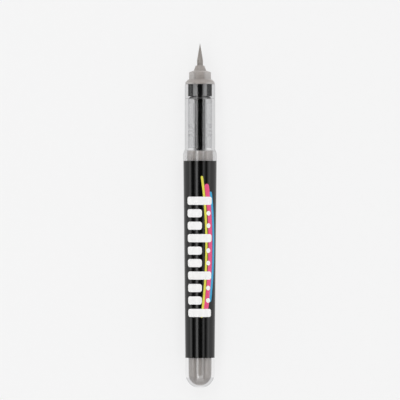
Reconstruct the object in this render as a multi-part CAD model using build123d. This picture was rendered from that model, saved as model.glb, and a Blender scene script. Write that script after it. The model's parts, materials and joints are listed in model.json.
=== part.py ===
from build123d import *
import os

# A clear-bodied brush marker, lying on its side, without its cap.
# Sections are drawn as (radius, station). A station is a distance along the marker from its rear end.

# Driving dimensions, in millimetres
TOTAL_LENGTH = 131.6
REAR_DOME_RADIUS = 5.56
REAR_RADIUS = 5.60
BAND_RADIUS = 6.42
SECTION_RADIUS = 5.80
SECTION_BORE = 4.58
RESERVOIR_REAR_RADIUS = 4.37
RESERVOIR_FRONT_RADIUS = 4.97
BRUSH_RADIUS = 1.15

LABEL_START = 11.6
LABEL_END = 86.8
SHOULDER_START = 89.0
BARREL_END = 91.1
PARTING_STATION = 110.6
SECTION_END = 116.1
HOLDER_END = 123.2
BRUSH_SHOULDER = 125.3

# Gaps: FIT is the radial gap of the push fit, SEAT is the gap of faces that meet across a joint
FIT = 0.04
SEAT = 0.02
CONTACT = 0.01

LABEL_FILM = 0.08
LABEL_STEP = 0.06
LABEL_FRONT_RADIUS = BAND_RADIUS - LABEL_STEP
RESERVOIR_DOME_STATION = 5.35

SOCKET_BOTTOM = 82.5
SKIRT_RADIUS = 5.58
SOCKET_RADIUS = SKIRT_RADIUS + FIT
GASKET_THICKNESS = 0.5
EDGE_BREAK = 0.15

INK_LEVEL = 90.65
INK_DISH = 0.35
INK_GAP = 0.06
PLATE_START = 90.75
PLATE_END = 91.15
GROMMET_RADIUS = 2.9
BREATHER_RADIUS = 0.45
BREATHER_OFFSET = 3.8

FEED_TAIL = 85.0
FEED_TAIL_ROOM = 0.3
FEED_RADIUS = 2.06
FEED_BORE = 1.2
WICK_RADIUS = 1.15
WICK_RECESS = 0.2
LIP_START = 110.55
LIP_END = 111.4
LIP_REAR_RADIUS = 4.47
LIP_FRONT_RADIUS = 3.63

WASHER_THICKNESS = 0.4
COLLECTOR_START = PLATE_END + WASHER_THICKNESS
COLLECTOR_TUBE_RADIUS = 2.7
BAFFLE_RADIUS = 4.5
BAFFLES = {108.75: 1.5, 99.2: 1.75, 98.0: 0.4, 96.1: 1.0}
AIR_SLOT_WIDTH = 0.7
AIR_SLOT_DEPTH = 1.0

BUFFER_START = 111.5
BUFFER_RADIUS = 4.5
SPIGOT_RADIUS = 2.9
SPIGOT_START = 112.0

FLANGE_RADIUS = 5.63
FLANGE_RIM = 0.6
FLANGE_TOP_STATION = 117.85
FLANGE_TOP_RADIUS = 4.6
COLLAR_RADIUS = 4.20
COLLAR_END = 120.7
GROOVE_STATIONS = (118.4, 119.2)
GROOVE_WIDTH = 0.16
GROOVE_DEPTH = 0.12
NOSE_BASE_RADIUS = 2.41
NOSE_BASE_STATION = 121.25
NOSE_TIP_RADIUS = 1.80
NOSE_EDGE = 0.3

BORE_GAP = 0.1
BRUSH_BORE = BRUSH_RADIUS + BORE_GAP
MOUTH_RADIUS = 1.45
MOUTH_DEPTH = 0.25
RETAINER_BORE = 1.6
RETAINER_INSET = 0.1
RETAINER_END = 114.5
ROOT_RECESS = 0.3
BRUSH_TIP_RADIUS = 0.05

# The two places where the tuft bends, and the gap of the ball seats there
ROOT_BEND = 123.4
TIP_BEND = 127.6
BALL_GAP = 0.08
TIP_SEAT_EDGE = 0.35


def solid(*outline):
    """Turn a closed outline of (radius, station) points about the marker's axis."""
    return revolve(make_face(Polyline(*outline, close=True)), Axis.Y)


def ring(inner, outer, start, end):
    """A plain tube, or a rod where inner is 0."""
    return solid((inner, start), (outer, start), (outer, end), (inner, end))


def ball(radius, station):
    return Pos(0, station, 0) * Sphere(radius)


def save(shape, node):
    """Lay the marker on its side: its axis along +Y, its middle over the origin, its band on Z = 0."""
    export_step(Pos(0, -TOTAL_LENGTH / 2, BAND_RADIUS) * shape, f"parts/{node}.step")


def barrel_skin():
    """The outside of the barrel: dome, label recess, front band and convex shoulder."""
    dome = CenterArc((0, REAR_DOME_RADIUS), REAR_DOME_RADIUS, -90, 90)
    body = Polyline(
        (REAR_DOME_RADIUS, REAR_DOME_RADIUS),
        (REAR_RADIUS, LABEL_START),
        (REAR_RADIUS - LABEL_FILM, LABEL_START),
        (LABEL_FRONT_RADIUS - LABEL_FILM, LABEL_END),
        (BAND_RADIUS, LABEL_END),
        (BAND_RADIUS, SHOULDER_START),
    )
    shoulder = TangentArc((BAND_RADIUS, SHOULDER_START), (SECTION_RADIUS, BARREL_END), tangent=(0, 1))
    closing = Polyline((SECTION_RADIUS, BARREL_END), (0, BARREL_END), (0, 0))
    return revolve(make_face(dome + body + shoulder + closing), Axis.Y)


def reservoir(rear_radius, front_radius, end):
    """The round-ended, tapered space for the ink, from its rear dome up to a station."""
    dome = CenterArc((0, RESERVOIR_DOME_STATION), rear_radius, -90, 90)
    wall = Polyline(
        (rear_radius, RESERVOIR_DOME_STATION),
        (front_radius, SOCKET_BOTTOM),
        (front_radius, end),
        (0, end),
        (0, RESERVOIR_DOME_STATION - rear_radius),
    )
    return revolve(make_face(dome + wall), Axis.Y)


def barrel():
    space = reservoir(RESERVOIR_REAR_RADIUS, RESERVOIR_FRONT_RADIUS, BARREL_END)
    socket = ring(0, SOCKET_RADIUS, SOCKET_BOTTOM, BARREL_END)
    return barrel_skin() - space - socket


def ink_charge():
    """The ink, with a dished top, drawn back from the walls and from the feed that dips into it."""
    rear = RESERVOIR_REAR_RADIUS - 2 * CONTACT
    front = RESERVOIR_FRONT_RADIUS - FIT
    ink = reservoir(rear, front, INK_LEVEL)
    dish_radius = (front**2 + INK_DISH**2) / (2 * INK_DISH)
    dish = ball(dish_radius, INK_LEVEL - INK_DISH + dish_radius)
    feed_space = ring(0, FEED_RADIUS + INK_GAP, FEED_TAIL - FEED_TAIL_ROOM, INK_LEVEL)
    return ink - dish - feed_space


def label_sleeve():
    inner = CONTACT - LABEL_FILM
    return solid(
        (REAR_RADIUS + inner, LABEL_START + CONTACT),
        (REAR_RADIUS, LABEL_START + CONTACT),
        (LABEL_FRONT_RADIUS, LABEL_END - CONTACT),
        (LABEL_FRONT_RADIUS + inner, LABEL_END - CONTACT),
    )


def socket_gasket():
    return ring(
        RESERVOIR_FRONT_RADIUS, SOCKET_RADIUS - CONTACT, SOCKET_BOTTOM, SOCKET_BOTTOM + GASKET_THICKNESS
    )


def collector_housing():
    """Clear rear part of the front section: skirt, shoulder, end plate and cap seat in one moulding."""
    skirt_start = SOCKET_BOTTOM + GASKET_THICKNESS + SEAT
    shell = solid(
        (RESERVOIR_FRONT_RADIUS, skirt_start),
        (SKIRT_RADIUS - EDGE_BREAK, skirt_start),
        (SKIRT_RADIUS, skirt_start + 3 * EDGE_BREAK),
        (SKIRT_RADIUS, BARREL_END + SEAT),
        (SECTION_RADIUS, BARREL_END + SEAT),
        (SECTION_RADIUS, PARTING_STATION - EDGE_BREAK),
        (SECTION_RADIUS - EDGE_BREAK, PARTING_STATION),
        (SECTION_BORE, PARTING_STATION),
        (SECTION_BORE, PLATE_END),
        (GROMMET_RADIUS, PLATE_END),
        (GROMMET_RADIUS, PLATE_START),
        (RESERVOIR_FRONT_RADIUS, PLATE_START),
    )
    breather = Pos(0, PLATE_START, -BREATHER_OFFSET) * Rot(-90, 0, 0) * Cylinder(
        BREATHER_RADIUS, 2 * (PLATE_END - PLATE_START)
    )
    return shell - breather


def front_tube():
    return solid(
        (SECTION_BORE, PARTING_STATION),
        (SECTION_RADIUS - EDGE_BREAK, PARTING_STATION),
        (SECTION_RADIUS, PARTING_STATION + EDGE_BREAK),
        (SECTION_RADIUS, SECTION_END - EDGE_BREAK),
        (SECTION_RADIUS - EDGE_BREAK, SECTION_END),
        (SECTION_BORE, SECTION_END),
    )


def collector_washer():
    """Soft washer between the housing's end plate and the collector, notched over the breather hole."""
    washer = ring(FEED_RADIUS + FIT, BAFFLE_RADIUS, PLATE_END, COLLECTOR_START)
    notch_depth = BAFFLE_RADIUS - BREATHER_OFFSET + BREATHER_RADIUS
    notch = Pos(0, COLLECTOR_START, -BAFFLE_RADIUS) * Box(
        2 * BREATHER_RADIUS, 3 * WASHER_THICKNESS, 2 * notch_depth
    )
    return washer - notch


def regulator():
    """Collector tube with its baffle discs. An air slot runs along the underside of the discs."""
    body = ring(FEED_RADIUS + FIT, COLLECTOR_TUBE_RADIUS, COLLECTOR_START, LIP_START - 2 * SEAT)
    for start, thickness in BAFFLES.items():
        body += ring(FEED_RADIUS + FIT, BAFFLE_RADIUS, start, start + thickness)
    slot = Pos(0, (COLLECTOR_START + LIP_START) / 2, -BAFFLE_RADIUS) * Box(
        AIR_SLOT_WIDTH, LIP_START - COLLECTOR_START, 2 * AIR_SLOT_DEPTH
    )
    return body - slot


def feed_tube():
    """Black tube that dips into the ink, with a flared lip in front of the collector."""
    return solid(
        (FEED_BORE, FEED_TAIL),
        (FEED_RADIUS - EDGE_BREAK, FEED_TAIL),
        (FEED_RADIUS, FEED_TAIL + 2 * EDGE_BREAK),
        (FEED_RADIUS, LIP_START),
        (LIP_REAR_RADIUS, LIP_START),
        (LIP_FRONT_RADIUS, LIP_END),
        (FEED_BORE, LIP_END),
    )


def feed_wick():
    return ring(0, WICK_RADIUS, FEED_TAIL + WICK_RECESS, SPIGOT_START)


def feed_grommet():
    return ring(FEED_RADIUS, GROMMET_RADIUS - CONTACT, PLATE_START, PLATE_END)


def buffer_ring():
    return ring(SPIGOT_RADIUS + CONTACT, BUFFER_RADIUS, BUFFER_START, SECTION_END - SEAT)


def buffer_wrap():
    return ring(BUFFER_RADIUS, SECTION_BORE - CONTACT, BUFFER_START, SECTION_END - SEAT)


def nib_holder():
    """Nose cone, grooved collar, flange and hollow rear spigot, bored through for the tuft."""
    outer = solid(
        (0, SPIGOT_START),
        (SPIGOT_RADIUS - EDGE_BREAK, SPIGOT_START),
        (SPIGOT_RADIUS, SPIGOT_START + EDGE_BREAK),
        (SPIGOT_RADIUS, SECTION_END),
        (FLANGE_RADIUS, SECTION_END),
        (FLANGE_RADIUS, SECTION_END + FLANGE_RIM),
        (FLANGE_TOP_RADIUS, FLANGE_TOP_STATION),
        (COLLAR_RADIUS, FLANGE_TOP_STATION),
        (COLLAR_RADIUS, COLLAR_END - EDGE_BREAK),
        (COLLAR_RADIUS - EDGE_BREAK, COLLAR_END),
        (NOSE_BASE_RADIUS, NOSE_BASE_STATION),
        (NOSE_TIP_RADIUS, HOLDER_END - NOSE_EDGE),
        (NOSE_TIP_RADIUS - NOSE_EDGE / 3, HOLDER_END - NOSE_EDGE / 3),
        (NOSE_TIP_RADIUS - NOSE_EDGE, HOLDER_END),
        (0, HOLDER_END),
    )
    bore = ring(0, BRUSH_BORE, SPIGOT_START, HOLDER_END)
    mouth = solid(
        (0, HOLDER_END - MOUTH_DEPTH),
        (BRUSH_BORE, HOLDER_END - MOUTH_DEPTH),
        (MOUTH_RADIUS, HOLDER_END),
        (0, HOLDER_END),
    )
    holder = outer - bore - mouth - ring(0, RETAINER_BORE, SPIGOT_START, RETAINER_END)
    for station in GROOVE_STATIONS:
        floor = COLLAR_RADIUS - GROOVE_DEPTH
        holder -= ring(floor, COLLAR_RADIUS + GROOVE_DEPTH, station, station + GROOVE_WIDTH)
    return holder


def tuft_retainer():
    start = SPIGOT_START + RETAINER_INSET
    return ring(BRUSH_RADIUS, RETAINER_BORE - CONTACT, start, RETAINER_END - CONTACT)


def tuft_root():
    """Bound root of the tuft, hollowed in front to seat the ball that the tuft bends on."""
    return ring(0, BRUSH_RADIUS, SPIGOT_START, HOLDER_END - ROOT_RECESS) - ball(BRUSH_BORE, ROOT_BEND)


def taper_radius(station):
    """Radius of the pointed part of the tuft."""
    return BRUSH_RADIUS * (TOTAL_LENGTH - station) / (TOTAL_LENGTH - BRUSH_SHOULDER)


def brush_lower():
    """Belly of the tuft: a ball at the mouth, a straight stretch, and a taper with a seat for the tip."""
    seat_edge = TIP_BEND - TIP_SEAT_EDGE
    belly = solid(
        (0, ROOT_BEND),
        (BRUSH_RADIUS, ROOT_BEND),
        (BRUSH_RADIUS, BRUSH_SHOULDER),
        (taper_radius(seat_edge), seat_edge),
        (0, seat_edge),
    )
    return belly + ball(BRUSH_RADIUS, ROOT_BEND) - ball(taper_radius(TIP_BEND) + BALL_GAP, TIP_BEND)


def brush_tip():
    """Pointed end of the tuft, on its own ball."""
    point = solid(
        (0, TIP_BEND),
        (taper_radius(TIP_BEND), TIP_BEND),
        (BRUSH_TIP_RADIUS, TOTAL_LENGTH - BRUSH_TIP_RADIUS),
        (0, TOTAL_LENGTH),
    )
    return point + ball(taper_radius(TIP_BEND), TIP_BEND)


PARTS = (
    barrel,
    ink_charge,
    label_sleeve,
    socket_gasket,
    collector_housing,
    front_tube,
    collector_washer,
    regulator,
    feed_tube,
    feed_wick,
    feed_grommet,
    buffer_ring,
    buffer_wrap,
    nib_holder,
    tuft_retainer,
    tuft_root,
    brush_lower,
    brush_tip,
)

os.makedirs("parts", exist_ok=True)
for make in PARTS:
    save(make(), make.__name__)
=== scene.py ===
import json
import math
import random

import bpy
from mathutils import Matrix, Vector


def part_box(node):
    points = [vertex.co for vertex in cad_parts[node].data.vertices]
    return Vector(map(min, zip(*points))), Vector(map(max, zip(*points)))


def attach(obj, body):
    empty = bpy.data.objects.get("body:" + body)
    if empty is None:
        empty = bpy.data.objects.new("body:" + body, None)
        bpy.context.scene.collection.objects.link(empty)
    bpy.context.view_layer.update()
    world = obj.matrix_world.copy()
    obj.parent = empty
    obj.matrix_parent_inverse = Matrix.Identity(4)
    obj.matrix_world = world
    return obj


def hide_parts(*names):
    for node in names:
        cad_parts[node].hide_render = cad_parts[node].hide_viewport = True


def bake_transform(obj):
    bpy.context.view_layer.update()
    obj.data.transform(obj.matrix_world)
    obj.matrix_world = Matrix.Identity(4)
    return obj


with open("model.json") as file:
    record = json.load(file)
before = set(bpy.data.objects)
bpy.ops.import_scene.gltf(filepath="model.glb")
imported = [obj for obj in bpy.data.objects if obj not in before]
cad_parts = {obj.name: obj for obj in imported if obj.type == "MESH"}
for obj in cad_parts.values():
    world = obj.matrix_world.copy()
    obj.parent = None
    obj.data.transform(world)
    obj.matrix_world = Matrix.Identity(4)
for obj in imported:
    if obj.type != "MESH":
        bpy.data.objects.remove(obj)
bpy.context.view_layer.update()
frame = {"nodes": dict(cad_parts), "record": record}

# A brush marker lying on a pale table, seen from straight above.
# The scene is in metres. Radii and stations are in millimetres: a station is a distance along the marker
# from its rear end, and a radius is measured from the marker's axis.

MM = 0.001

BARREL_LOW, BARREL_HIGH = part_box("barrel")
AXIS_Z = (BARREL_LOW.z + BARREL_HIGH.z) / 2
REAR_Y = BARREL_LOW.y
# How near a vertex has to be to a node's end to count as on it
END_LAYER = 0.02


def station_at(y):
    """The station of a place along Y."""
    return (y - REAR_Y) / MM


def span(node):
    """Stations of a CAD node's rear and front ends."""
    low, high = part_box(node)
    return station_at(low.y), station_at(high.y)


def widest_radius(node):
    """Largest radius of a turned CAD node."""
    low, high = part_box(node)
    return (high.x - low.x) / 2 / MM


def end_radius(node, front):
    """Outer radius of a turned CAD node at its front or rear end."""
    vertices = [v.co for v in frame["nodes"][node].data.vertices]
    end = max(v.y for v in vertices) if front else min(v.y for v in vertices)
    at_end = [v for v in vertices if abs(v.y - end) < END_LAYER * MM]
    return max(math.hypot(v.x, v.z - AXIS_Z) for v in at_end) / MM


def joint_station(name):
    """The station of a joint's pivot."""
    joint = next(j for j in frame["record"]["behaviour"]["joints"] if j["name"] == name)
    return station_at(joint["pos_m"][1])


BARREL_END_STATION = span("barrel")[1]
LABEL_REAR_STATION, LABEL_FRONT_STATION = span("label_sleeve")
LIP_STATION = span("regulator")[1]
MOUTH_STATION = span("nib_holder")[1]
TIP_STATION = span("brush_tip")[1]
BELLY_STATION = joint_station("belly_bend")
POINT_STATION = joint_station("point_bend")
LABEL_REAR_RADIUS = end_radius("label_sleeve", front=False)
LABEL_FRONT_RADIUS = end_radius("label_sleeve", front=True)
FEED_RADIUS = end_radius("feed_tube", front=False)
SKIRT_RADIUS = widest_radius("socket_gasket")
WRAP_RADIUS = widest_radius("buffer_wrap")
TUFT_RADIUS = widest_radius("brush_lower")


def place(radius, angle, station):
    """A point from its radius, its angle from straight up, clockwise as seen from the rear, and its
    station."""
    across = radius * MM * math.sin(angle)
    up = radius * MM * math.cos(angle)
    return Vector((across, REAR_Y + station * MM, AXIS_Z + up))


def polar(point):
    """A point's radius and station."""
    return math.hypot(point.x, point.z - AXIS_Z) / MM, station_at(point.y)


def mesh_object(name, vertices, faces, material, smooth=True):
    """A new object from its points and faces, in one material."""
    mesh = bpy.data.meshes.new(name)
    mesh.from_pydata(vertices, [], faces)
    mesh.validate()
    mesh.materials.append(material)
    for polygon in mesh.polygons:
        polygon.use_smooth = smooth
    obj = bpy.data.objects.new(name, mesh)
    bpy.context.scene.collection.objects.link(obj)
    return obj


# Materials: how they are built

WHITE = (1.0, 1.0, 1.0, 1.0)


class Shader:
    """A material with its node tree, and short ways to add nodes to it."""

    def __init__(self, name):
        self.material = bpy.data.materials.new(name)
        self.material.use_nodes = True
        self.nodes = self.material.node_tree.nodes
        self.links = self.material.node_tree.links
        self.nodes.clear()
        self.output = self.nodes.new("ShaderNodeOutputMaterial")
        self.position = self.add("ShaderNodeTexCoord").outputs["Object"]

    def add(self, kind, **settings):
        node = self.nodes.new(kind)
        for key, value in settings.items():
            setattr(node, key, value)
        return node

    def link(self, source, target):
        self.links.new(source, target)

    def stretched(self, across, along):
        """Object coordinates scaled across and along the marker, in repeats per metre."""
        mapping = self.add("ShaderNodeMapping")
        mapping.inputs["Scale"].default_value = (across, along, across)
        self.link(self.position, mapping.inputs["Vector"])
        return mapping.outputs["Vector"]

    def noise(self, across, along, detail=3.0, roughness=0.55):
        """Soft noise of 0 to 1, from its repeats per metre across and along the marker."""
        node = self.add("ShaderNodeTexNoise")
        node.inputs["Scale"].default_value = 1.0
        node.inputs["Detail"].default_value = detail
        node.inputs["Roughness"].default_value = roughness
        self.link(self.stretched(across, along), node.inputs["Vector"])
        return node.outputs["Fac"]

    def between(self, factor, low, high, start=0.0, end=1.0):
        """A number that runs from low to high as the factor runs from start to end."""
        node = self.add("ShaderNodeMapRange")
        node.inputs["From Min"].default_value = start
        node.inputs["From Max"].default_value = end
        node.inputs["To Min"].default_value = low
        node.inputs["To Max"].default_value = high
        self.link(factor, node.inputs["Value"])
        return node.outputs["Result"]

    def product(self, first, second):
        """Two numbers multiplied."""
        node = self.add("ShaderNodeMath", operation="MULTIPLY")
        self.link(first, node.inputs[0])
        self.link(second, node.inputs[1])
        return node.outputs["Value"]

    def colours(self, factor, first, second):
        """A colour that runs from the first to the second as the factor runs from 0 to 1."""
        node = self.add("ShaderNodeMix", data_type="RGBA")
        node.inputs["A"].default_value = (*first, 1)
        node.inputs["B"].default_value = (*second, 1)
        self.link(factor, node.inputs["Factor"])
        return node.outputs["Result"]

    def facing(self):
        """0 where a surface faces the eye, towards 1 at its rim."""
        node = self.add("ShaderNodeLayerWeight")
        node.inputs["Blend"].default_value = 0.5
        return node.outputs["Facing"]

    def raised(self, factor, power):
        """A number to a power."""
        node = self.add("ShaderNodeMath", operation="POWER")
        node.inputs[1].default_value = power
        self.link(factor, node.inputs[0])
        return node.outputs["Value"]

    def mixed(self, factor, first, second):
        """Two shaders mixed by a factor."""
        node = self.add("ShaderNodeMixShader")
        self.link(factor, node.inputs["Fac"])
        self.link(first.outputs[0], node.inputs[1])
        self.link(second.outputs[0], node.inputs[2])
        return node

    def bump(self, height, distance):
        """A surface raised by a height of 0 to 1 times a distance in metres."""
        node = self.add("ShaderNodeBump")
        node.inputs["Distance"].default_value = distance
        node.inputs["Strength"].default_value = 1.0
        self.link(height, node.inputs["Height"])
        return node.outputs["Normal"]

    def principled(self, **values):
        """A general surface, with its sockets set by name."""
        node = self.add("ShaderNodeBsdfPrincipled")
        for key, value in values.items():
            node.inputs[key.replace("_", " ")].default_value = value
        return node

    def glossed(self, body, roughness, rise, fall):
        """Lays a gloss over a body shader. It is nothing face on, grows over the first range of angles
        (start, end, gloss) and sinks over the second (start, end, share left)."""
        gloss = self.add("ShaderNodeBsdfGlossy")
        uneven = self.noise(260, 60, detail=1)
        self.link(self.between(uneven, roughness * 0.92, roughness * 1.08), gloss.inputs["Roughness"])
        growing = self.between(self.facing(), 0.0, rise[2], rise[0], rise[1])
        sinking = self.between(self.facing(), 1.0, fall[2], fall[0], fall[1])
        return self.mixed(self.product(growing, sinking), body, gloss)

    def finish(self, shader):
        self.link(shader.outputs[0], self.output.inputs["Surface"])
        return self.material


def srgb(red, green, blue):
    """Scene colour from screen levels of 0 to 255."""
    levels = (red, green, blue)
    return tuple(((c / 255 + 0.055) / 1.055) ** 2.4 if c > 10 else c / 255 / 12.92 for c in levels)


def clear_plastic(name, face_tint, edge_tint, roughness, face_mirror=0.04, edge_mirror=0.75):
    """See-through moulded plastic. It dims what is behind it, more at its edges, and mirrors as plastic
    does."""
    s = Shader(name)
    facing = s.facing()
    through = s.add("ShaderNodeBsdfTransparent")
    s.link(s.colours(facing, face_tint, edge_tint), through.inputs["Color"])
    gloss = s.add("ShaderNodeBsdfGlossy")
    s.link(s.between(s.noise(900, 250), roughness * 0.7, roughness * 1.4), gloss.inputs["Roughness"])
    mirror = s.between(s.raised(facing, 5.0), face_mirror, edge_mirror)
    return s.finish(s.mixed(mirror, through, gloss))


def moulded(name, low, high, roughness, grain=0.002 * MM, subsurface=0.0, sheen=0.0, gloss=None):
    """Satin moulded plastic: fine spark-erosion grain, faint flow marks and uneven gloss. A polished one
    also has a gloss of its own, as (roughness, rise, fall)."""
    s = Shader(name)
    body = s.principled(Subsurface_Weight=subsurface, Sheen_Weight=sheen, Sheen_Roughness=0.5)
    body.inputs["Subsurface Radius"].default_value = (1.0, 1.0, 1.0)
    body.inputs["Subsurface Scale"].default_value = 0.4 * MM
    s.link(s.colours(s.noise(350, 120, detail=4), low, high), body.inputs["Base Color"])
    s.link(s.between(s.noise(1500, 1500), roughness * 0.9, roughness * 1.12), body.inputs["Roughness"])
    s.link(s.bump(s.noise(9000, 9000, detail=2), grain), body.inputs["Normal"])
    return s.finish(s.glossed(body, *gloss) if gloss else body)


def glassy_black(name, low, high, roughness, rise, fall):
    """Black plastic seen through a clear wall, with a gloss that changes with the angle."""
    s = Shader(name)
    body = s.principled(Roughness=0.4, Specular_IOR_Level=0.1)
    s.link(s.colours(s.noise(400, 150), low, high), body.inputs["Base Color"])
    return s.finish(s.glossed(body, roughness, rise, fall))


def milky_plastic(name, face, rim, start=0.0, end=1.0, power=2.0, painted_glow=0.0):
    """Unpigmented plastic: see-through where it faces the eye, cloudy and white towards its rim, over a
    range of angles. One with a painted glow also glows white of itself: painted light, standing in for
    light led along the clear wall."""
    s = Shader(name)
    # Painted light: the emission makes the plastic glow white, though it is no lamp
    body = s.principled(Roughness=0.25, IOR=1.8, Specular_IOR_Level=0.8, Emission_Strength=painted_glow)
    body.inputs["Emission Color"].default_value = WHITE
    cloudy = s.colours(s.noise(700, 400), srgb(232, 233, 233), srgb(246, 246, 245))
    s.link(cloudy, body.inputs["Base Color"])
    clear = s.add("ShaderNodeBsdfTransparent")
    s.link(s.colours(s.noise(500, 500), (0.97, 0.97, 0.97), (0.995, 0.995, 0.995)), clear.inputs["Color"])
    turned = s.between(s.facing(), 0.0, 1.0, start, end)
    return s.finish(s.mixed(s.between(s.raised(turned, power), face, rim), clear, body))


def liquid_ink():
    """Opaque pigment ink against a wall: slow streaks of pigment under a wet surface. It is painted paler
    towards its front end, round the feed: painted light."""
    s = Shader("liquid_ink")
    body = s.principled(Roughness=0.34, IOR=1.8, Specular_IOR_Level=0.9)
    streaks = s.noise(260, 40, detail=5)
    settled = s.colours(streaks, srgb(159, 152, 147), srgb(169, 162, 157))
    # Painted light: the ink's colour at its front end, paler than the rest of the ink
    painted_light_front = s.colours(streaks, srgb(202, 195, 190), srgb(212, 205, 200))
    axes = s.add("ShaderNodeSeparateXYZ")
    s.link(s.position, axes.inputs["Vector"])
    rear_y = REAR_Y + LABEL_REAR_STATION * MM
    front_y = REAR_Y + LABEL_FRONT_STATION * MM
    front = s.between(axes.outputs["Y"], 0.0, 1.0, rear_y, front_y)
    tone = s.add("ShaderNodeMix", data_type="RGBA")
    s.link(front, tone.inputs["Factor"])
    s.link(settled, tone.inputs["A"])
    s.link(painted_light_front, tone.inputs["B"])
    s.link(tone.outputs["Result"], body.inputs["Base Color"])
    s.link(s.bump(s.noise(500, 60), 0.004 * MM), body.inputs["Normal"])
    return s.finish(s.glossed(body, 0.32, rise=(0.004, 0.03, 0.35), fall=(0.05, 0.11, 0.0)))


def label_film():
    """Black printed film, shrunk on: glossy, with a slow ripple and fine dust-like grain."""
    s = Shader("black_label_film")
    body = s.principled()
    s.link(s.colours(s.noise(2500, 2500), srgb(2, 2, 2), srgb(6, 6, 6)), body.inputs["Base Color"])
    s.link(s.between(s.noise(1200, 300), 0.12, 0.2), body.inputs["Roughness"])
    s.link(s.between(s.facing(), 0.65, 0.0), body.inputs["Specular IOR Level"])
    s.link(s.bump(s.noise(420, 90, detail=2), 0.004 * MM), body.inputs["Normal"])
    return s.finish(body)


def print_ink(name, low, high):
    """Screen-printed colour on the label: thin, satin, with the mesh's faint grain."""
    s = Shader(name)
    body = s.principled(Specular_IOR_Level=0.45)
    s.link(s.colours(s.noise(3500, 3500), low, high), body.inputs["Base Color"])
    s.link(s.between(s.noise(2500, 2500), 0.26, 0.38), body.inputs["Roughness"])
    s.link(s.bump(s.noise(7000, 7000), 0.0015 * MM), body.inputs["Normal"])
    return s.finish(body)


def pressed_fibre(name, low, high, stretch):
    """Bonded fibre: short strands, finer across than along, with a matt surface."""
    s = Shader(name)
    body = s.principled(Specular_IOR_Level=0.25, Sheen_Weight=0.3, Sheen_Roughness=0.5)
    strands = s.noise(9000, 9000 / stretch, detail=4, roughness=0.7)
    s.link(s.colours(strands, low, high), body.inputs["Base Color"])
    s.link(s.between(strands, 0.65, 0.9), body.inputs["Roughness"])
    s.link(s.bump(strands, 0.02 * MM), body.inputs["Normal"])
    return s.finish(body)


STRAND_SHADE = "strand_shade"


def filament_fibre():
    """Nylon filaments stained by the ink: each strand has its own shade."""
    s = Shader("tuft_filament")
    body = s.principled(Roughness=0.45, Specular_IOR_Level=0.5, Sheen_Weight=0.15, Sheen_Roughness=0.4)
    strand = s.add("ShaderNodeAttribute", attribute_name=STRAND_SHADE).outputs["Fac"]
    shade = s.colours(strand, srgb(152, 146, 142), srgb(194, 188, 182))
    streak = s.colours(s.noise(6000, 500, detail=4), srgb(206, 204, 202), srgb(255, 255, 255))
    tinted = s.add("ShaderNodeMix", data_type="RGBA", blend_type="MULTIPLY")
    tinted.inputs["Factor"].default_value = 1.0
    s.link(shade, tinted.inputs["A"])
    s.link(streak, tinted.inputs["B"])
    s.link(tinted.outputs["Result"], body.inputs["Base Color"])
    s.link(s.bump(s.noise(12000, 900), 0.004 * MM), body.inputs["Normal"])
    return s.finish(body)


FLOOR_GLOW = 0.735
FLOOR_LOW = (0.175, 0.175, 0.176)
FLOOR_HIGH = (0.185, 0.185, 0.186)


def floor_paint():
    """A pale light table: a matt sheet, lit mostly from below, with a faint paper grain."""
    s = Shader("pale_table")
    body = s.principled(Roughness=0.9, Specular_IOR_Level=0.1, Emission_Strength=FLOOR_GLOW)
    s.link(s.colours(s.noise(300, 300), FLOOR_LOW, FLOOR_HIGH), body.inputs["Base Color"])
    body.inputs["Emission Color"].default_value = WHITE
    return s.finish(body)


# Materials: which face of a CAD node takes a second finish

# Distances from a wall or an end that the tests below use
END_GAP = 0.05
FIT_INSIDE = 0.3
FIT_OUTSIDE = 0.15
PLATE_MARGIN = 0.6
BORE_MARGIN = 0.1
FEED_MARGIN = 0.3
# The holder's collar and flange are outside this radius, and its nose is inside it
COLLAR_RADIUS = 3.9
# The share of a face's direction that lies along the marker: more in an end, less in a side
END_TILT = 0.9
SIDE_TILT = 0.5


def faces_an_end(polygon):
    """Whether a face looks along the marker."""
    return abs(polygon.normal.y) > END_TILT


def in_push_fit(polygon):
    """Whether a face belongs to the push fit or the end plate, where a film of ink hides the gap."""
    radius, station = polar(polygon.center)
    behind_mouth = station < BARREL_END_STATION - END_GAP
    fitted = behind_mouth and SKIRT_RADIUS - FIT_INSIDE < radius < SKIRT_RADIUS + FIT_OUTSIDE
    return fitted or (faces_an_end(polygon) and radius < SKIRT_RADIUS - PLATE_MARGIN)


def in_bore(polygon):
    """Whether a face lines the bore round the buffer."""
    return polar(polygon.center)[0] < WRAP_RADIUS + BORE_MARGIN


def on_lip(polygon):
    """Whether a face is on the side of the feed tube's flared lip."""
    radius, station = polar(polygon.center)
    in_front = station > LIP_STATION + END_GAP
    return in_front and radius > SKIRT_RADIUS / 2 and not faces_an_end(polygon)


def on_collar(polygon):
    """Whether a face is on the straight part of the holder's collar or of its flange."""
    return polar(polygon.center)[0] > COLLAR_RADIUS and abs(polygon.normal.y) < SIDE_TILT


def by_the_feed(polygon):
    """Whether a face is an end, or lines the hole that the feed tube passes through."""
    return faces_an_end(polygon) or polar(polygon.center)[0] < FEED_RADIUS + FEED_MARGIN


# Materials: what each CAD node is dressed in

WARM_GREY = srgb(152, 145, 141), srgb(161, 154, 149)
HOLDER_LOOK = {"roughness": 0.38, "subsurface": 0.15, "sheen": 0.3}


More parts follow.
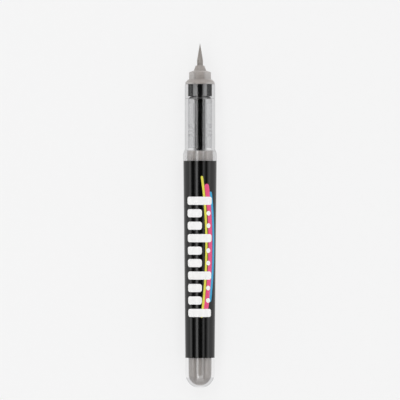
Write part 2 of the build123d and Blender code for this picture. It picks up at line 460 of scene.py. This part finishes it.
def main_finishes():
    """The material of each CAD node that shows."""
    clear = clear_plastic("clear_plastic", (0.91, 0.91, 0.912), (0.83, 0.83, 0.835), 0.05)
    return {
        "barrel": clear,
        "collector_housing": clear,
        "front_tube": clear,
        "regulator": milky_plastic("natural_plastic", 0.0, 0.4),
        "ink_charge": liquid_ink(),
        "label_sleeve": label_film(),
        "socket_gasket": milky_plastic("silicone", 0.7, 0.95),
        # Painted light: the washer glows a little by its emission
        "collector_washer": milky_plastic(
            "clear_silicone_painted_glow", 0.0, 1.0, start=0.12, end=0.25, power=1.0, painted_glow=0.4
        ),
        # Painted light: the grommet glows a little by its emission
        "feed_grommet": milky_plastic(
            "grommet_silicone_painted_glow", 0.0, 0.8, start=0.3, end=0.6, power=1.0, painted_glow=0.3
        ),
        "feed_tube": glassy_black(
            "black_plastic", srgb(3, 3, 3), srgb(7, 7, 7), 0.16,
            rise=(0.04, 0.3, 0.36), fall=(0.5, 1.0, 0.9),
        ),
        "buffer_ring": pressed_fibre("black_fibre", srgb(8, 8, 8), srgb(26, 26, 26), 1.0),
        "buffer_wrap": glassy_black(
            "black_film", srgb(2, 2, 2), srgb(5, 5, 5), 0.42,
            rise=(0.012, 0.07, 0.68), fall=(0.12, 0.22, 0.03),
        ),
        "nib_holder": moulded("holder_plastic", *WARM_GREY, **HOLDER_LOOK),
        "tuft_retainer": moulded("white_plastic", srgb(214, 214, 212), srgb(224, 224, 222), roughness=0.4),
        "tuft_root": pressed_fibre("root_fibre", srgb(128, 122, 118), srgb(160, 154, 149), 12.0),
        "feed_wick": pressed_fibre("wick_fibre", srgb(120, 115, 110), srgb(156, 150, 145), 8.0),
    }


def second_finishes():
    """The second material of the CAD nodes that have one, and the test for the faces that take it."""
    wetted = clear_plastic(
        "wetted_plastic", (0.99, 0.99, 0.99), (0.97, 0.97, 0.97), 0.05, face_mirror=0.004, edge_mirror=0.1
    )
    faint = milky_plastic("polished_plastic", 0.0, 0.3)
    lip = glassy_black(
        "black_lip", srgb(16, 16, 16), srgb(24, 24, 24), 0.9,
        rise=(0.295, 0.35, 0.8), fall=(0.4, 0.52, 0.3),
    )
    collar_gloss = (0.35, (0.02, 0.1, 0.24), (0.5, 0.65, 0.45))
    polished = moulded("holder_collar", *WARM_GREY, **HOLDER_LOOK, gloss=collar_gloss)
    return {
        "barrel": (wetted, in_push_fit),
        "collector_housing": (wetted, in_push_fit),
        "front_tube": (wetted, in_bore),
        "regulator": (faint, faces_an_end),
        "collector_washer": (faint, by_the_feed),
        "feed_grommet": (faint, by_the_feed),
        "feed_tube": (lip, on_lip),
        "nib_holder": (polished, on_collar),
    }


def dress_cad_nodes():
    """Gives every CAD node that shows its finished materials."""
    for node, material in main_finishes().items():
        mesh = frame["nodes"][node].data
        mesh.materials.clear()
        mesh.materials.append(material)
        for polygon in mesh.polygons:
            polygon.material_index = 0
    for node, (material, belongs) in second_finishes().items():
        mesh = frame["nodes"][node].data
        mesh.materials.append(material)
        for polygon in mesh.polygons:
            polygon.material_index = int(belongs(polygon))


# The tuft

TAPER_LENGTH = 6.3
TAPER_STATION = TIP_STATION - TAPER_LENGTH
HIDDEN_LENGTH = 1.0
# The two pieces meet a little in front of the middle between the bends, and each turns over a length
# both ways from its bend
SPLIT_SHIFT = 0.3
SPLIT_STATION = (BELLY_STATION + POINT_STATION) / 2 + SPLIT_SHIFT
POINT_RADIUS = 0.035
# The shoulder where the taper starts: its depth, its place and its spread, as shares of the taper
SHOULDER_DEPTH = 0.035
SHOULDER_PLACE = 0.02
SHOULDER_SPREAD = 0.1

OUTER_STRANDS = 120
INNER_STRANDS = 90
STRAND_SIDES = 6
STRAND_STEP = 0.35
STRAND_RADIUS = 0.062
STRAND_THICKNESS = (0.8, 1.15)
STRAND_END_RADIUS = 0.008
# How far a strand is drawn out past its end, and the share of its thickness that it has there
DRAWN_LENGTH = 2.0
DRAWN_SHARE = 0.1
DRAWN_SLOPE = 1.5
# Where strands lie across the tuft, as shares of its radius, and squared for the inner ones
OUTER_PLACE = (0.93, 1.0)
INNER_PLACE_SQUARED = (0.0, 0.8)
# How far strands reach: the two shape numbers of a beta distribution along the taper
OUTER_REACH = (3.2, 0.9)
INNER_REACH = (5.0, 0.7)
SHORTEST_REACH = 0.8
TWIST = 0.10
TWIST_LENGTH = 8
WAVE = 0.03
WAVE_RATE = 1.7

LAP_LENGTH = 0.3
LAP_LOSS = 0.006
CORE_SIDES = 72
CORE_SHARE = 0.9
CORE_FLUTES = 24
FLUTE_DEPTH = 0.03
FLUTE_TWIST = 0.4
CORE_SHORT_OF_TIP = 0.5
CORE_SHADE = 0.3


def tuft_radius(station):
    """Radius of the tuft's outside: straight, then a rounded shoulder, then a long taper."""
    along = (station - TAPER_STATION) / (TIP_STATION - TAPER_STATION)
    if along <= 0:
        return TUFT_RADIUS
    taper = 1 - along
    rounding = SHOULDER_DEPTH * math.exp(-(((along - SHOULDER_PLACE) / SHOULDER_SPREAD) ** 2))
    return POINT_RADIUS + (TUFT_RADIUS - POINT_RADIUS) * (taper - rounding)


def strand_stations(start, end):
    """Even stations from start to end, about a step apart."""
    count = max(3, round((end - start) / STRAND_STEP))
    return [start + (end - start) * i / count for i in range(count + 1)]


class Strand:
    """One filament: where it starts across the tuft, how far it reaches, how it wanders, and its shade,
    which is drawn once all strands are placed."""

    def __init__(self, rng, outer):
        self.angle = rng.uniform(0, 2 * math.pi)
        self.share = rng.uniform(*OUTER_PLACE) if outer else math.sqrt(rng.uniform(*INNER_PLACE_SQUARED))
        reach = rng.betavariate(*(OUTER_REACH if outer else INNER_REACH))
        self.end = TAPER_STATION + SHORTEST_REACH + (TIP_STATION - TAPER_STATION - SHORTEST_REACH) * reach
        self.twist = rng.uniform(-TWIST, TWIST)
        self.wave = rng.uniform(0.0, WAVE)
        self.phase = rng.uniform(0, 2 * math.pi)
        self.thickness = STRAND_RADIUS * rng.uniform(*STRAND_THICKNESS)
        self.shade = 0.0

    def radius(self, station):
        """Half thickness: full at the root, drawn out to a fine end."""
        left = (self.end - station) / (self.end - TAPER_STATION + DRAWN_LENGTH)
        return max(STRAND_END_RADIUS, self.thickness * min(1.0, DRAWN_SHARE + DRAWN_SLOPE * left))

    def centre(self, station):
        """Distance from the axis and angle, at a station."""
        room = max(tuft_radius(station) - self.radius(station), 0.0)
        sway = self.wave * math.sin(WAVE_RATE * station + self.phase)
        turned = self.twist * (station - MOUTH_STATION) / TWIST_LENGTH
        return room * min(1.0, self.share + sway), self.angle + turned


class TuftPiece:
    """The mesh of one piece of the tuft. At the split its tubes run on a little way inside the other
    piece's, a hair thinner, so that no line shows where the two meet."""

    def __init__(self, start, end):
        self.start = start
        self.end = end
        self.vertices = []
        self.faces = []
        self.shades = []

    def add_tube(self, ring, sides, end, shade):
        """Adds a closed tube. Ring gives its points at a station, for a given loss of radius."""
        stations = [(station, 0.0) for station in strand_stations(self.start, min(self.end, end))]
        if self.start == SPLIT_STATION:
            stations.insert(0, (self.start - LAP_LENGTH, LAP_LOSS))
        if self.end == SPLIT_STATION:
            stations.append((self.end + LAP_LENGTH, LAP_LOSS))
        firsts = []
        for station, loss in stations:
            firsts.append(len(self.vertices))
            self.vertices += ring(station, loss)
        for first, second in zip(firsts, firsts[1:]):
            for k in range(sides):
                after = (k + 1) % sides
                self.faces.append((first + k, second + k, second + after, first + after))
        self.faces.append(tuple(firsts[0] + k for k in range(sides)))
        self.faces.append(tuple(firsts[-1] + k for k in reversed(range(sides))))
        self.shades += [shade] * (len(self.vertices) - len(self.shades))

    def add_strand(self, strand):
        """Adds a strand, if it reaches into this piece."""

        def ring(station, loss):
            distance, angle = strand.centre(station)
            centre = place(distance, angle, station)
            radius = (strand.radius(station) - loss) * MM
            turns = [2 * math.pi * k / STRAND_SIDES + angle for k in range(STRAND_SIDES)]
            return [centre + radius * Vector((math.sin(turn), 0, math.cos(turn))) for turn in turns]

        if strand.end - self.start > STRAND_STEP / 2:
            self.add_tube(ring, STRAND_SIDES, strand.end, strand.shade)

    def add_core(self):
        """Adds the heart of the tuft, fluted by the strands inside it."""

        def ring(station, loss):
            turns = [2 * math.pi * k / CORE_SIDES for k in range(CORE_SIDES)]
            twist = FLUTE_TWIST * station
            flutes = [1 + FLUTE_DEPTH * math.sin(CORE_FLUTES * turn + twist) for turn in turns]
            radius = tuft_radius(station) * CORE_SHARE
            return [place(radius * flute - loss, turn, station) for turn, flute in zip(turns, flutes)]

        self.add_tube(ring, CORE_SIDES, TIP_STATION - CORE_SHORT_OF_TIP, CORE_SHADE)

    def made(self, name, material):
        """The piece's object, with each strand's shade kept on its points."""
        obj = mesh_object(name, self.vertices, self.faces, material)
        shade = obj.data.attributes.new(STRAND_SHADE, "FLOAT", "POINT")
        shade.data.foreach_set("value", self.shades)
        return obj


def make_tuft():
    """The tuft in two pieces that meet between its two bends, so that each crosses one joint."""
    rng = random.Random(7)
    strands = [Strand(rng, outer=True) for _ in range(OUTER_STRANDS)]
    strands += [Strand(rng, outer=False) for _ in range(INNER_STRANDS)]
    for strand in strands:
        strand.shade = rng.random()
    fibre = filament_fibre()
    spans = {
        "tuft_belly": (MOUTH_STATION - HIDDEN_LENGTH, SPLIT_STATION),
        "tuft_point": (SPLIT_STATION, TIP_STATION),
    }
    made = {}
    for name, (start, end) in spans.items():
        piece = TuftPiece(start, end)
        piece.add_core()
        for strand in strands:
            piece.add_strand(strand)
        made[name] = piece.made(name, fibre)

    belly, point = made["tuft_belly"], made["tuft_point"]
    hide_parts("brush_lower")
    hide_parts("brush_tip")
    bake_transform(belly)
    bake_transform(point)


# The print on the label

PRINT_SUNK = -0.01
ARC_HEIGHT = 0.008
MARK_HEIGHT = 0.016
ANGLE_STEP = math.radians(2.0)

MARK_COUNT = 10
MARK_PITCH = 4.75
MARK_FIRST_STATION = 28.8
MARK_WIDTH = 3.1
MARK_START = math.radians(-50)
MARK_SHORT_END = math.radians(7)
MARK_LONG_END = math.radians(46)
CORNER_SHARE = 0.3
BAR_STEPS = 8
DOT_ANGLE = math.radians(32)
DOT_RADIUS = 0.9
DOT_STEPS = 14

ARC_STATION = 54.0
ARC_LENGTH = 54.0
ARC_STEP = 3.0
ARC_END_ANGLE = math.radians(6)
ARC_MIDDLE_ANGLE = math.radians(30)
ARC_PITCH = math.radians(17)
ARC_STEPS = 96
ARC_PROBE = 0.01
ARC_END_SHARE = 0.02


def label_radius(station):
    """Radius of the label film at a station."""
    along = (station - LABEL_REAR_STATION) / (LABEL_FRONT_STATION - LABEL_REAR_STATION)
    return LABEL_REAR_RADIUS + (LABEL_FRONT_RADIUS - LABEL_REAR_RADIUS) * along


def on_label(angle, station, height):
    """A point above the label film."""
    return place(label_radius(station) + height, angle, station)


def printed(name, shapes, height, material):
    """Thin closed patches of ink that follow the label's curve.
    A shape is a list of rows, each a pair of (angle, station) ends. Its rows run side by side."""
    vertices, faces = [], []
    for rows in shapes:
        across = max(2, math.ceil(max(abs(b[0] - a[0]) for a, b in rows) / ANGLE_STEP))
        layers = []
        for level in (PRINT_SUNK, height):
            layers.append(len(vertices))
            for a, b in rows:
                for k in range(across + 1):
                    share = k / across
                    angle = a[0] + (b[0] - a[0]) * share
                    station = a[1] + (b[1] - a[1]) * share
                    vertices.append(on_label(angle, station, level))
        low, high = layers
        width = across + 1
        last = len(rows) - 1
        for r in range(last):
            for k in range(across):
                corner = r * width + k
                quad = (corner, corner + 1, corner + width + 1, corner + width)
                faces.append(tuple(high + i for i in quad))
                faces.append(tuple(low + i for i in reversed(quad)))
            for edge in (0, across):
                i, j = r * width + edge, (r + 1) * width + edge
                side = (low + i, high + i, high + j, low + j)
                faces.append(side if edge == 0 else side[::-1])
        for r in (0, last):
            for k in range(across):
                i, j = r * width + k, r * width + k + 1
                side = (low + i, low + j, high + j, high + i)
                faces.append(side if r == 0 else side[::-1])
    patch = mesh_object(name, vertices, faces, material, smooth=False)
    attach(patch, "barrel")
    return patch


def bar(start_angle, end_angle, station, width):
    """A bar across the label with rounded ends, as rows that run round the label."""
    radius = label_radius(station)
    corner = CORNER_SHARE * width / radius
    steps = max(BAR_STEPS, math.ceil((end_angle - start_angle) / ANGLE_STEP))
    rows = []
    for i in range(steps + 1):
        share = 0.5 - 0.5 * math.cos(math.pi * i / steps)
        angle = start_angle + (end_angle - start_angle) * share
        inset = max(0.0, corner - min(angle - start_angle, end_angle - angle)) / corner
        half = width / 2 - CORNER_SHARE * width * (1 - math.sqrt(max(0.0, 1 - inset**2)))
        rows.append(((angle, station - half), (angle, station + half)))
    return rows


def dot(angle, station, radius):
    """A round dot, as rows that run round the label."""
    rows = []
    for i in range(1, DOT_STEPS):
        turn = math.pi * i / DOT_STEPS
        half = radius * math.sin(turn)
        middle = angle - radius * math.cos(turn) / label_radius(station)
        rows.append(((middle, station - half), (middle, station + half)))
    return rows


def along_path(path, share):
    """A point on the smooth curve with these control points (a Bezier curve of their number)."""
    points = [Vector(p) for p in path]
    while len(points) > 1:
        points = [a.lerp(b, share) for a, b in zip(points, points[1:])]
    return points[0]


def arc(path, width):
    """A plain line of even width along the label, with rounded ends, as rows that run across it. Its path
    is the (angle, station) control points of its curve."""
    length = (Vector(path[-1]) - Vector(path[0])).length
    rows = []
    for i in range(ARC_STEPS + 1):
        share = 0.5 - 0.5 * math.cos(math.pi * i / ARC_STEPS)
        angle, station = along_path(path, share)
        ahead = along_path(path, min(1.0, share + ARC_PROBE))
        behind = along_path(path, max(0.0, share - ARC_PROBE))
        radius = label_radius(station)
        run = Vector(((ahead[0] - behind[0]) * radius, ahead[1] - behind[1])).normalized()
        from_end = min(1.0, min(share, 1 - share) * length / (width / 2))
        half = width / 2 * max(ARC_END_SHARE, math.sqrt(1 - (1 - from_end) ** 2))
        left = (angle - run.y * half / radius, station + run.x * half)
        right = (angle + run.y * half / radius, station - run.x * half)
        rows.append((left, right))
    return rows


def make_print():
    """Plain bars with a row of dots beside them, over three nested arcs of colour."""
    white = print_ink("print_white", srgb(243, 242, 242), srgb(247, 247, 246))
    bars, dots = [], []
    for i in range(MARK_COUNT):
        station = MARK_FIRST_STATION + i * MARK_PITCH
        is_long = i % 3 == 0
        bars.append(bar(MARK_START, MARK_LONG_END if is_long else MARK_SHORT_END, station, MARK_WIDTH))
        if not is_long:
            dots.append(dot(DOT_ANGLE, station, DOT_RADIUS))
    printed("print_bars", bars, MARK_HEIGHT, white)
    printed("print_dots", dots, MARK_HEIGHT, white)

    # name, darker and lighter colour, width in millimetres
    arcs = (
        ("yellow", srgb(214, 208, 60), srgb(228, 222, 92), 0.9),
        ("pink", srgb(222, 62, 118), srgb(236, 92, 140), 1.9),
        ("cyan", srgb(28, 150, 200), srgb(52, 172, 218), 1.2),
    )
    for i, (name, low, high, width) in enumerate(arcs):
        ends = ARC_END_ANGLE + i * ARC_PITCH
        middle = ARC_MIDDLE_ANGLE + i * ARC_PITCH
        half = ARC_LENGTH / 2 - i * ARC_STEP
        path = [
            (ends, ARC_STATION + half),
            (middle, ARC_STATION + half / 3),
            (middle, ARC_STATION - half / 3),
            (ends, ARC_STATION - half),
        ]
        ink = print_ink(f"print_{name}", low, high)
        printed(f"print_{name}", [arc(path, width)], ARC_HEIGHT, ink)


# The table, the lights and the camera

FLOOR_HALF = 30.0
# What the camera takes in from side to side, and how far along the marker its middle is
IMAGE_SPAN = 0.1528
IMAGE_RISE = 0.00604
LENS = 500.0
SENSOR = 36.0
# Enough for a ray to cross every clear wall and baffle
CLEAR_LAYERS = 40


def make_floor():
    signs = ((-1, -1), (1, -1), (1, 1), (-1, 1))
    corners = [(x * FLOOR_HALF, y * FLOOR_HALF, 0) for x, y in signs]
    floor = mesh_object("table_top", corners, [(0, 1, 2, 3)], floor_paint(), smooth=False)


def soft_box(name, lean, distance, width, length, radiance, turn=0.0):
    """A rectangular light that shines on the marker, from a lean off straight above. Its length runs along
    the marker. A turn of 90 degrees puts it beyond an end of the marker, not beside it."""
    lamp = bpy.data.lights.new(name, "AREA")
    lamp.shape = "RECTANGLE"
    lamp.size = width
    lamp.size_y = length
    lamp.energy = radiance * math.pi * width * length
    obj = bpy.data.objects.new(name, lamp)
    towards = Matrix.Rotation(math.radians(turn), 4, "Z") @ Matrix.Rotation(math.radians(lean), 4, "Y")
    obj.matrix_world = Matrix.Translation((0, 0, AXIS_Z)) @ towards @ Matrix.Translation((0, 0, distance))
    bpy.context.scene.collection.objects.link(obj)


STRIP_HEIGHT = 0.6
STRIP_LENGTH = 1.8


def strip_light(name, lean, width_angle, radiance):
    """A long soft box along the marker, leaning from straight above, as wide as a given angle makes it."""
    distance = STRIP_HEIGHT / math.cos(math.radians(lean))
    width = 2 * distance * math.tan(math.radians(width_angle / 2))
    soft_box(name, lean, distance, width, STRIP_LENGTH, radiance)


# name, lean and width in degrees, radiance
STRIPS = (
    ("strip_left", -22.6, 14, 2.1),
    ("strip_left_tail", -35, 10, 0.3),
    ("strip_right", 25.5, 11, 1.0),
    ("strip_right_tail", 35, 8, 0.35),
    ("side_left", -74, 14, 0.8),
    ("side_right", 70, 14, 0.45),
)
# name, lean in degrees, distance, width, length, radiance, turn in degrees
END_BOXES = (
    ("box_front", 45, 1.6, 1.8, 1.8, 1.0, 90),
    ("box_rear", -45, 1.6, 1.8, 1.8, 1.0, 90),
)

WORLD_DARK = 0.006
WORLD_PALE = 0.92
CAP_LEAN = math.radians(-6)
CAP_EDGE = math.radians(60)
CAP_SOFTNESS = math.radians(10)


def make_world():
    """A pale horizon all round under a dark ceiling, whose middle leans a little to one side."""
    world = bpy.data.worlds.new("studio")
    bpy.context.scene.world = world
    world.use_nodes = True
    nodes, links = world.node_tree.nodes, world.node_tree.links
    background = nodes["Background"]
    direction = nodes.new("ShaderNodeTexCoord").outputs["Generated"]
    towards = nodes.new("ShaderNodeVectorMath")
    towards.operation = "DOT_PRODUCT"
    towards.inputs[1].default_value = (math.sin(CAP_LEAN), 0, math.cos(CAP_LEAN))
    links.new(direction, towards.inputs[0])
    shade = nodes.new("ShaderNodeMapRange")
    shade.interpolation_type = "SMOOTHSTEP"
    shade.inputs["From Min"].default_value = math.cos(CAP_EDGE + CAP_SOFTNESS)
    shade.inputs["From Max"].default_value = math.cos(CAP_EDGE - CAP_SOFTNESS)
    shade.inputs["To Min"].default_value = WORLD_PALE
    shade.inputs["To Max"].default_value = WORLD_DARK
    links.new(towards.outputs["Value"], shade.inputs["Value"])
    links.new(shade.outputs["Result"], background.inputs["Color"])


def make_camera():
    camera = bpy.data.cameras.new("camera")
    camera.lens = LENS
    camera.sensor_width = SENSOR
    camera.clip_start = 0.01
    camera.clip_end = 100.0
    obj = bpy.data.objects.new("camera", camera)
    distance = IMAGE_SPAN * LENS / SENSOR
    obj.location = (0, IMAGE_RISE, AXIS_Z + distance)
    bpy.context.scene.collection.objects.link(obj)
    bpy.context.scene.camera = obj


dress_cad_nodes()
make_tuft()
make_print()
make_floor()
for light in STRIPS:
    strip_light(*light)
for light in END_BOXES:
    soft_box(*light)
make_world()
make_camera()
bpy.context.scene.view_settings.view_transform = "Standard"
bpy.context.scene.cycles.transparent_max_bounces = CLEAR_LAYERS
